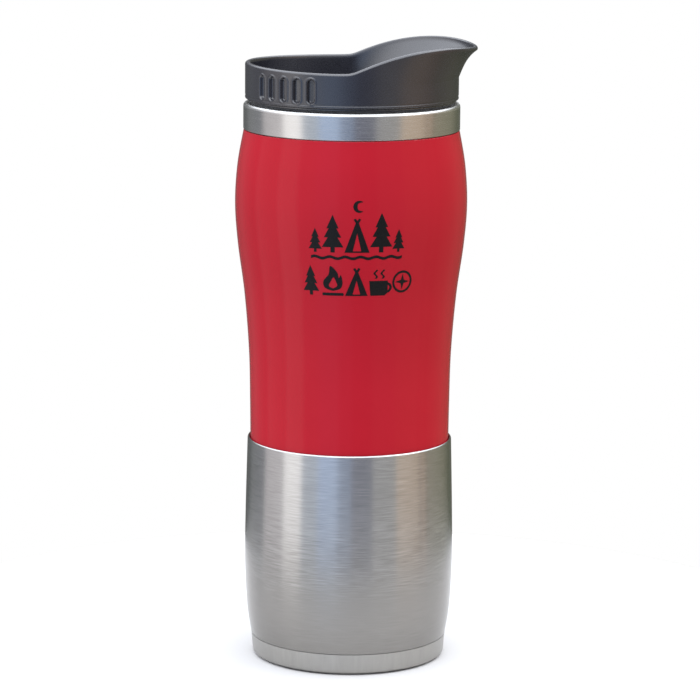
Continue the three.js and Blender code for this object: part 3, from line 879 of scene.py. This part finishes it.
def pine(x, foot, height):
    """A fir tree of three tiers on a trunk."""
    wide = height * 0.29
    tiers = [(1.0, 0.14, 0.50), (0.80, 0.40, 0.74), (0.56, 0.64, 1.0)]
    right = []
    for share, low_share, high_share in tiers:
        right.append((share * wide, foot + low_share * height))
        right.append((share * wide * 0.45, foot + (high_share - 0.10) * height))
    right[-1] = (0.0, foot + height)
    trunk = [(wide * 0.2, foot), (wide * 0.2, foot + 0.14 * height)]
    half = [*trunk, *right]
    return [[*[(x + dx, z) for dx, z in half], *[(x - dx, z) for dx, z in half[-2::-1]]]]


def tent(x, foot, width, height):
    """A ridge tent seen from the front, its door open, its poles crossed at the top."""
    half = width / 2
    apex = foot + height
    left = [(-half, foot), (-0.5, apex), (-1.2, apex + 1.2), (-0.5, apex + 1.5)]
    right = [(-dx, z) for dx, z in left[::-1]]
    canvas = [(x + dx, z) for dx, z in [*left, (0, apex + 0.7), *right]]
    door = [(x - half * 0.34, foot + 0.45), (x, foot + height * 0.66), (x + half * 0.34, foot + 0.45)]
    return [canvas, door]


def flame(x, foot, height):
    """A campfire: a flame with a hollow core over a log."""
    outer = through([
        (0.0, 0.16), (-0.28, 0.26), (-0.33, 0.48), (-0.14, 0.72), (-0.08, 1.0), (0.15, 0.80),
        (0.21, 0.60), (0.28, 0.70), (0.34, 0.44), (0.26, 0.24), (0.0, 0.16),
    ], 60)[:-1]
    core = through([
        (0.0, 0.24), (-0.14, 0.33), (-0.06, 0.50), (0.03, 0.62), (0.12, 0.46), (0.15, 0.33), (0.0, 0.24),
    ], 36)[:-1]
    log = filleted([(-0.38, 0.0, 0.04), (0.38, 0.0, 0.04), (0.38, 0.095, 0.04), (-0.38, 0.095, 0.04)], 4)
    return [[(x + height * dx, foot + height * dz) for dx, dz in shape] for shape in (outer, core, log)]


def cup(x, foot, size):
    """A mug with two curls of steam."""
    def bow(centre, wide, high, steps):
        turns = [-1.3 + 2.6 * i / steps for i in range(steps + 1)]
        return [(centre + wide * math.cos(a), 0.30 + high * math.sin(a)) for a in turns]

    body = [
        (-0.38, 0.03), (-0.35, 0.0), (0.22, 0.0), (0.25, 0.03), *bow(0.26, 0.24, 0.21, 16),
        (0.31, 0.57), (-0.44, 0.57),
    ]
    gap = bow(0.30, 0.10, 0.11, 12)
    up = [(-1, i / 20) for i in range(21)]
    down = [(1, 1 - i / 20) for i in range(21)]
    steam = [
        [(dx + side * 0.04 + 0.05 * math.sin(8 * t), 0.66 + t * 0.34) for side, t in [*up, *down]]
        for dx in (-0.19, 0.09)
    ]
    return [[(x + size * dx, foot + size * dz) for dx, dz in shape] for shape in (body, gap, *steam)]


def compass(x, foot, size):
    """A ring round a four-pointed star."""
    z = foot + size / 2
    points = [(r * size, math.pi * k / 4) for k, r in enumerate((0.35, 0.11) * 4)]
    star = [(x + r * math.sin(a), z + r * math.cos(a)) for r, a in points]
    return [ring_of(x, z, size * 0.5), ring_of(x, z, size * 0.40), star]


def moon(x, z, radius):
    """A crescent."""
    rim = arc(x, z, radius, 50, 310, 28)
    bite = through([
        rim[-1], (x - radius * 0.1, z - radius * 0.55), (x - radius * 0.3, z),
        (x - radius * 0.1, z + radius * 0.55), rim[0],
    ], 20)[1:-1]
    return [[*rim, *bite]]


def river(start, end, z, height):
    """A wavy band."""
    step = (end - start) / 90
    upper = [(start + step * i, z + height * math.sin(i * 0.42)) for i in range(91)]
    return [[*upper, *[(px, pz - 0.9) for px, pz in upper[::-1]]]]


def print_shapes():
    """Outlines of the whole print: distance round the sleeve, to the right, and height."""
    low_row, high_row, middle = 124.6, 138.6, 2.0
    trees = [(-13.5, 7.6), (-7.8, 12), (7.8, 12.6), (13.6, 7.2)]
    scene = [
        *[outline for across, height in trees for outline in pine(middle + across, high_row, height)],
        *tent(middle, high_row, 8, 9.4),
        *moon(middle + 0.6, 153.2, 1.9),
        *river(middle - 15, middle + 15, high_row - 1.2, 0.3),
    ]
    badges = [
        *pine(middle - 15.4, low_row, 9.6),
        *flame(middle - 7.9, low_row, 9.6),
        *tent(middle, low_row, 7.6, 7.6),
        *cup(middle + 7.9, low_row, 8.4),
        *compass(middle + 15.8, low_row + 0.6, 7.2),
    ]
    return [*scene, *badges]


def make_print():
    """The print as a thin layer of ink that follows the sleeve."""
    curve = bpy.data.curves.new("print", "CURVE")
    curve.dimensions = "2D"
    curve.fill_mode = "BOTH"
    for outline in print_shapes():
        spline = curve.splines.new("POLY")
        spline.points.add(len(outline) - 1)
        spline.use_cyclic_u = True
        for point, (across, z) in zip(spline.points, outline):
            point.co = (across, z, 0, 1)
    flat = bpy.data.objects.new("print_outline", curve)
    bpy.context.scene.collection.objects.link(flat)
    data = bpy.data.meshes.new_from_object(flat.evaluated_get(bpy.context.evaluated_depsgraph_get()))
    bpy.data.objects.remove(flat)
    mesh = bmesh.new()
    mesh.from_mesh(data)
    bpy.data.meshes.remove(data)
    bmesh.ops.remove_doubles(mesh, verts=mesh.verts, dist=1e-4)
    # Cut into small cells, so that the flat print can be bent round the sleeve.
    upright_cuts = [((1.5 * i, 0, 0), (1, 0, 0)) for i in range(-16, 22)]
    level_cuts = [((0, z, 0), (0, 1, 0)) for z in range(122, 158)]
    for place, normal in [*upright_cuts, *level_cuts]:
        geometry = [*mesh.verts, *mesh.edges, *mesh.faces]
        bmesh.ops.bisect_plane(mesh, geom=geometry, plane_co=place, plane_no=normal)
    widest = max(r for r, _ in BELLY_CURVE)
    for vert in mesh.verts:
        across, z = vert.co.x, vert.co.y
        angle = across / widest - math.pi / 2
        radius = belly_radius(z) + INK_LIFT
        vert.co = (radius * math.cos(angle), radius * math.sin(angle), z)
    ink = to_object("camping_print", mesh)
    thicken = ink.modifiers.new("thickness", "SOLIDIFY")
    thicken.thickness = INK_THICKNESS
    thicken.offset = 1
    apply_modifiers(ink)
    finish_piece(ink, "flask", INK, "print_ink")


# ---- Pieces that stay as packed ----

def dress_hidden_nodes():
    looks = {
        "jacket_base": LINER, "getter_clip": LINER, "tip_off_seal": SOLDER, "getter_pellet": GETTER,
        "seam_spacer": SPACER, "base_spacer": SPACER,
    }
    for node, material in looks.items():
        for place in frame["nodes"][node].material_slots:
            place.material = material


# ---- Studio ----

def make_floor():
    """A pale disc, already in metres."""
    radius, thickness = 0.17, 0.004
    floor = to_object("floor", revolve([(0, 0), (radius, 0), (radius, -thickness), (0, -thickness)], 96))
    pale = Surface("pale_floor", (0.55, 0.54, 0.53), 0.9)
    pale.shader.inputs["Specular IOR Level"].default_value = 0.1
    floor.data.materials.append(pale.material)


def add_softbox(name, place, target, side, power, colour):
    """A square area light that faces a point on the axis."""
    light = bpy.data.lights.new(name, "AREA")
    light.shape = "RECTANGLE"
    light.size, light.size_y = side, side
    light.energy = power
    light.color = colour
    lamp = bpy.data.objects.new(name, light)
    lamp.location = place
    lamp.rotation_euler = (Vector(target) - Vector(place)).to_track_quat("-Z", "Y").to_euler()
    bpy.context.scene.collection.objects.link(lamp)


# Upright bands of the room that the steel mirrors. Each has its start and end in degrees round from the
# camera's side, positive towards +X, and the colours it starts and ends with.
ROOM_BANDS = [
    (-180, -150, (0.14, 0.14, 0.13), (0.16, 0.17, 0.17)),    # dark, behind the mug
    (-138, -112, (0.31, 0.32, 0.33), (0.33, 0.34, 0.37)),    # grey
    (-106, -80, (0.82, 0.78, 0.80), (0.90, 0.86, 0.88)),     # pale
    (-76, -57, (1.62, 1.58, 1.58), (1.62, 1.58, 1.58)),      # the brightest
    (-52, -37, (0.66, 0.72, 0.82), (0.66, 0.74, 0.86)),      # cool grey
    (-33, -15, (0.60, 0.76, 1.08), (0.60, 0.76, 1.06)),      # blue
    (-10, 1, (0.34, 0.42, 0.60), (0.30, 0.38, 0.55)),        # slate
    (4, 24, (0.20, 0.21, 0.28), (0.20, 0.21, 0.27)),         # the darkest in front
    (28, 52, (0.46, 0.45, 0.45), (0.46, 0.45, 0.44)),        # grey
    (56, 84, (0.78, 0.62, 0.48), (0.72, 0.56, 0.42)),        # warm
    (86.5, 86.5, (0.34, 0.27, 0.21), (0.34, 0.27, 0.21)),    # a thin post
    (89, 94.5, (0.62, 0.47, 0.35), (0.60, 0.46, 0.34)),      # warm
    (97, 97, (0.30, 0.25, 0.19), (0.30, 0.25, 0.19)),        # a thin post
    (100, 130, (0.42, 0.38, 0.28), (0.34, 0.33, 0.24)),      # olive
    (150, 180, (0.15, 0.16, 0.11), (0.16, 0.16, 0.15)),      # dark, behind the mug
]
SKY_COLOUR = (2.85, 2.97, 3.2)
SKY_START, SKY_FULL = 0.28, 0.6     # sines of the heights at which the room gives way to the sky


def make_world():
    """A room of upright bands under a pale sky; the camera itself sees white behind the mug."""
    world = bpy.data.worlds.new("studio")
    bpy.context.scene.world = world
    world.use_nodes = True
    nodes, links = world.node_tree.nodes, world.node_tree.links
    place = nodes.new("ShaderNodeTexCoord")
    split = nodes.new("ShaderNodeSeparateXYZ")
    links.new(place.outputs["Generated"], split.inputs["Vector"])
    turn = nodes.new("ShaderNodeMath")
    turn.operation = "ARCTAN2"
    flip = nodes.new("ShaderNodeMath")
    flip.operation = "MULTIPLY"
    flip.inputs[1].default_value = -1
    links.new(split.outputs["Y"], flip.inputs[0])
    links.new(split.outputs["X"], turn.inputs[0])
    links.new(flip.outputs[0], turn.inputs[1])
    share = nodes.new("ShaderNodeMapRange")
    share.inputs["From Min"].default_value = -math.pi
    share.inputs["From Max"].default_value = math.pi
    links.new(turn.outputs[0], share.inputs["Value"])
    room = nodes.new("ShaderNodeValToRGB")
    stops = [stop for start, end, first, last in ROOM_BANDS for stop in ((start, first), (end, last))]
    elements = room.color_ramp.elements
    for element, (degrees, colour) in zip(elements, (stops[0], stops[-1])):
        element.position = degrees / 360 + 0.5
        element.color = (*colour, 1)
    for degrees, colour in stops[1:-1]:
        elements.new(degrees / 360 + 0.5).color = (*colour, 1)
    links.new(share.outputs["Result"], room.inputs["Fac"])
    sky = nodes.new("ShaderNodeMapRange")
    sky.interpolation_type = "SMOOTHSTEP"
    sky.inputs["From Min"].default_value = SKY_START
    sky.inputs["From Max"].default_value = SKY_FULL
    links.new(split.outputs["Z"], sky.inputs["Value"])
    mix = nodes.new("ShaderNodeMix")
    mix.data_type = "RGBA"
    links.new(sky.outputs["Result"], mix.inputs["Factor"])
    links.new(room.outputs["Color"], mix.inputs["A"])
    mix.inputs["B"].default_value = (*SKY_COLOUR, 1)
    lit = nodes.new("ShaderNodeBackground")
    links.new(mix.outputs["Result"], lit.inputs["Color"])
    plain = nodes.new("ShaderNodeBackground")
    plain.inputs["Color"].default_value = (1, 1, 1, 1)
    path = nodes.new("ShaderNodeLightPath")
    choose = nodes.new("ShaderNodeMixShader")
    links.new(path.outputs["Is Camera Ray"], choose.inputs["Fac"])
    links.new(lit.outputs["Background"], choose.inputs[1])
    links.new(plain.outputs["Background"], choose.inputs[2])
    links.new(choose.outputs["Shader"], nodes["World Output"].inputs["Surface"])


def make_studio():
    make_floor()
    make_world()
    add_softbox(
        "key", place=(-0.35, -0.9, 1.45), target=(0, 0, 0.15), side=0.8, power=1.5, colour=(1, 0.99, 0.98)
    )
    add_softbox(
        "fill", place=(1.05, -0.1, 1.3), target=(0, 0, 0.1), side=0.9, power=4, colour=(1, 0.98, 0.95)
    )


def make_camera():
    """The photograph's view: a long lens above the lid, tipped down and rolled a touch."""
    distance, height = 1.0835, 0.299
    tip_degrees, roll_degrees = 10.36, 0.43
    camera = bpy.data.cameras.new("camera")
    camera.lens = 173.86
    camera.sensor_width = 36
    camera.clip_end = 30
    view = bpy.data.objects.new("camera", camera)
    bpy.context.scene.collection.objects.link(view)
    tip = Matrix.Rotation(math.radians(90 - tip_degrees), 4, "X")
    roll = Matrix.Rotation(math.radians(roll_degrees), 4, "Z")
    view.matrix_world = Matrix.Translation((0, -distance, height)) @ tip @ roll
    bpy.context.scene.camera = view
    bpy.context.scene.view_settings.view_transform = "Standard"


make_liner()
make_collar()
make_sleeve()
make_base()
make_lid_shell()
make_lid_plug()
make_seals()
make_lever()
make_stoppers()
make_print()
dress_hidden_nodes()
make_studio()
make_camera()

bpy.context.view_layer.update()
